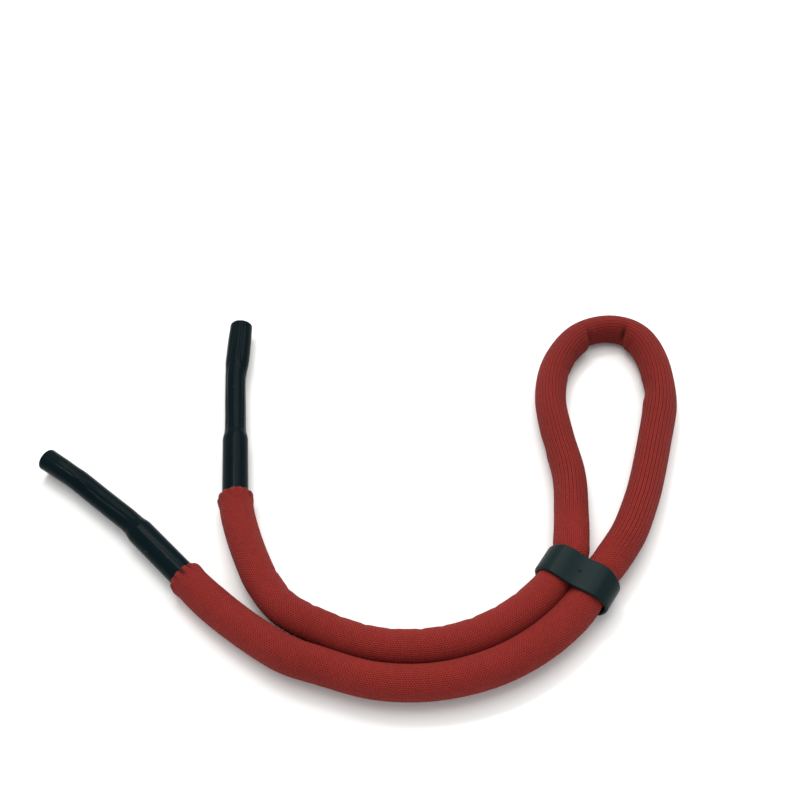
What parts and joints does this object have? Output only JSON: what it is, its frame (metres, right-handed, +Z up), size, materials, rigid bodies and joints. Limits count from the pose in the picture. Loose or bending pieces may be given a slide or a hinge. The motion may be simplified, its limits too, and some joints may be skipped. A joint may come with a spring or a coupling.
{
  "type": "eyeglass retainer strap",
  "caption": "Padded knitted eyeglass strap lying in a loop, with a soft rubber temple tube at each end and a slider band around both legs.",
  "frame": {"origin": "middle of the bounding box, on the table that the strap lies on", "axes": "+Z up, +X across the table towards the loop, +Y away from the strap's bent legs, the way the right tube points"},
  "size_m": [0.1747, 0.1182, 0.0114],
  "materials": {
    "red_knit": "matte",
    "white_foam": "matte",
    "black_rubber": "gloss",
    "plug_plastic": "satin",
    "red_thread": "matte",
    "black_moulding": "satin"
  },
  "bodies": {
    "strap": {"knit_cover": "red_knit", "foam_core": "white_foam"},
    "left_tube": {"left_temple_tube": "black_rubber", "left_end_plug": "plug_plastic", "left_binding_thread": "red_thread"},
    "right_tube": {"right_temple_tube": "black_rubber", "right_end_plug": "plug_plastic", "right_binding_thread": "red_thread"},
    "slider": {"slider_band": "black_moulding"}
  },
  "joints": [
    {"name": "slider_travel", "type": "hinge", "parent": "strap", "child": "slider", "pos_m": [0.0118, -0.0002, 0.00555], "axis": [0, 0, 1], "range_deg": [-65, 0]},
    {"name": "left_tube_swing", "type": "hinge", "parent": "strap", "child": "left_tube", "pos_m": [-0.0445, -0.0263, 0.00435], "axis": [0, 0, 1], "range_deg": [-12, 12], "stiffness_Nm_per_rad": 0.002},
    {"name": "right_tube_swing", "type": "hinge", "parent": "strap", "child": "right_tube", "pos_m": [-0.0338, -0.0027, 0.00435], "axis": [0, 0, 1], "range_deg": [-12, 12], "stiffness_Nm_per_rad": 0.002}
  ]
}
